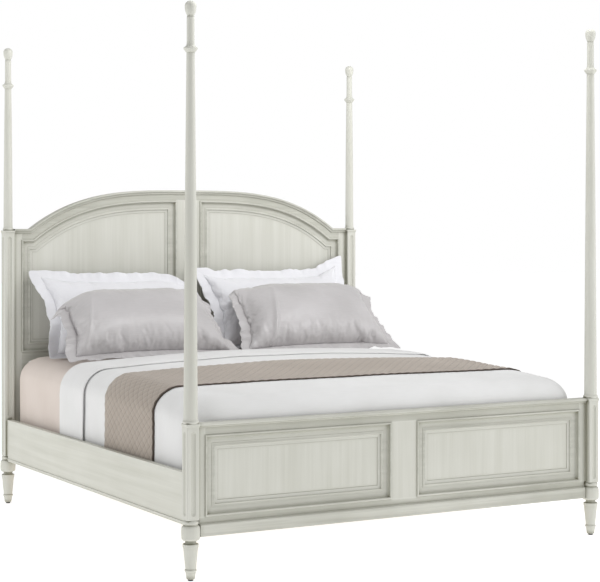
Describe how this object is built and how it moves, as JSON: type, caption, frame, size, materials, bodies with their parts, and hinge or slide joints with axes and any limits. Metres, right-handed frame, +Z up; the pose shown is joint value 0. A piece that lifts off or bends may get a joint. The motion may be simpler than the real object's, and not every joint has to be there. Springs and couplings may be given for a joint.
{
  "type": "four poster bed",
  "caption": "King size four poster bed with tall turned posts, knob finials, fluted blocks, arched panelled headboard, panelled footboard, mattress and dressed bedding.",
  "frame": {"origin": "on the floor, under the middle of the four posts", "axes": "+Z up, +X to the right for someone at the foot looking at the headboard, +Y from the foot to the head"},
  "size_m": [2.0809, 2.1917, 2.29],
  "materials": {
    "painted_wood": "off-white paint brushed along the grain, grey glaze left in the grooves, satin",
    "slat_wood": "planed pine, unfinished",
    "steel": "zinc plated, dull",
    "nylon": "moulded black nylon",
    "foundation_cloth": "plain woven cotton",
    "mattress_ticking": "knitted ticking",
    "sheet_cotton": "percale cotton",
    "white_cotton": "woven cotton",
    "quilted_throw": "quilted, with a dark bound edge",
    "grey_satin": "satin"
  },
  "bodies": {
    "bed": {"lower_post_front_left": "painted_wood", "upper_post_front_left": "painted_wood", "lower_post_front_right": "painted_wood", "upper_post_front_right": "painted_wood", "lower_post_rear_left": "painted_wood", "upper_post_rear_left": "painted_wood", "lower_post_rear_right": "painted_wood", "upper_post_rear_right": "painted_wood", "headboard_top_rail": "painted_wood", "footboard_top_rail": "painted_wood", "headboard_bottom_rail": "painted_wood", "footboard_bottom_rail": "painted_wood", "headboard_left_stile": "painted_wood", "footboard_left_stile": "painted_wood", "headboard_centre_stile": "painted_wood", "footboard_centre_stile": "painted_wood", "headboard_right_stile": "painted_wood", "footboard_right_stile": "painted_wood", "headboard_left_panel": "painted_wood", "footboard_left_panel": "painted_wood", "headboard_right_panel": "painted_wood", "footboard_right_panel": "painted_wood", "headboard_left_moulding": "painted_wood", "footboard_left_moulding": "painted_wood", "headboard_right_moulding": "painted_wood", "footboard_right_moulding": "painted_wood", "headboard_cap": "painted_wood", "footboard_cap": "painted_wood", "footboard_base_moulding": "painted_wood", "side_rail_left": "painted_wood", "ledger_left": "slat_wood", "side_rail_right": "painted_wood", "ledger_right": "slat_wood", "rail_hook_plates": "steel", "post_catch_plates": "steel", "wood_screws": "steel", "slat_1": "slat_wood", "slat_2": "slat_wood", "slat_3": "slat_wood", "slat_4": "slat_wood", "slat_5": "slat_wood", "centre_leg_1": "slat_wood", "centre_leg_2": "slat_wood", "foundation": "foundation_cloth", "mattress": "mattress_ticking", "fitted_sheet": "sheet_cotton", "coverlet": "white_cotton", "throw_blanket": "quilted_throw"},
    "glide_front_left": {"levelling_glide_front_left": "nylon"},
    "glide_front_right": {"levelling_glide_front_right": "nylon"},
    "glide_rear_left": {"levelling_glide_rear_left": "nylon"},
    "glide_rear_right": {"levelling_glide_rear_right": "nylon"},
    "knob_front_left": {"finial_front_left": "painted_wood"},
    "knob_front_right": {"finial_front_right": "painted_wood"},
    "knob_rear_left": {"finial_rear_left": "painted_wood"},
    "knob_rear_right": {"finial_rear_right": "painted_wood"},
    "back_pillow_left_body": {"back_pillow_left": "white_cotton"},
    "front_pillow_left_body": {"front_pillow_left": "grey_satin"},
    "back_pillow_right_body": {"back_pillow_right": "white_cotton"},
    "front_pillow_right_body": {"front_pillow_right": "grey_satin"}
  },
  "joints": [
    {"name": "glide_front_left_slide", "type": "slide", "parent": "bed", "child": "glide_front_left", "axis": [0, 0, -1], "range_m": [0, 0.012]},
    {"name": "glide_front_right_slide", "type": "slide", "parent": "bed", "child": "glide_front_right", "axis": [0, 0, -1], "range_m": [0, 0.012]},
    {"name": "glide_rear_left_slide", "type": "slide", "parent": "bed", "child": "glide_rear_left", "axis": [0, 0, -1], "range_m": [0, 0.012]},
    {"name": "glide_rear_right_slide", "type": "slide", "parent": "bed", "child": "glide_rear_right", "axis": [0, 0, -1], "range_m": [0, 0.012]},
    {"name": "knob_front_left_lift", "type": "slide", "parent": "bed", "child": "knob_front_left", "axis": [0, 0, 1], "range_m": [0, 0.08]},
    {"name": "knob_front_right_lift", "type": "slide", "parent": "bed", "child": "knob_front_right", "axis": [0, 0, 1], "range_m": [0, 0.08]},
    {"name": "knob_rear_left_lift", "type": "slide", "parent": "bed", "child": "knob_rear_left", "axis": [0, 0, 1], "range_m": [0, 0.08]},
    {"name": "knob_rear_right_lift", "type": "slide", "parent": "bed", "child": "knob_rear_right", "axis": [0, 0, 1], "range_m": [0, 0.08]},
    {"name": "back_pillow_left_lift", "type": "slide", "parent": "bed", "child": "back_pillow_left_body", "axis": [0, 0, 1], "range_m": [0, 0.5]},
    {"name": "front_pillow_left_lift", "type": "slide", "parent": "back_pillow_left_body", "child": "front_pillow_left_body", "axis": [0, 0, 1], "range_m": [0, 0.5]},
    {"name": "back_pillow_right_lift", "type": "slide", "parent": "bed", "child": "back_pillow_right_body", "axis": [0, 0, 1], "range_m": [0, 0.5]},
    {"name": "front_pillow_right_lift", "type": "slide", "parent": "back_pillow_right_body", "child": "front_pillow_right_body", "axis": [0, 0, 1], "range_m": [0, 0.5]}
  ]
}
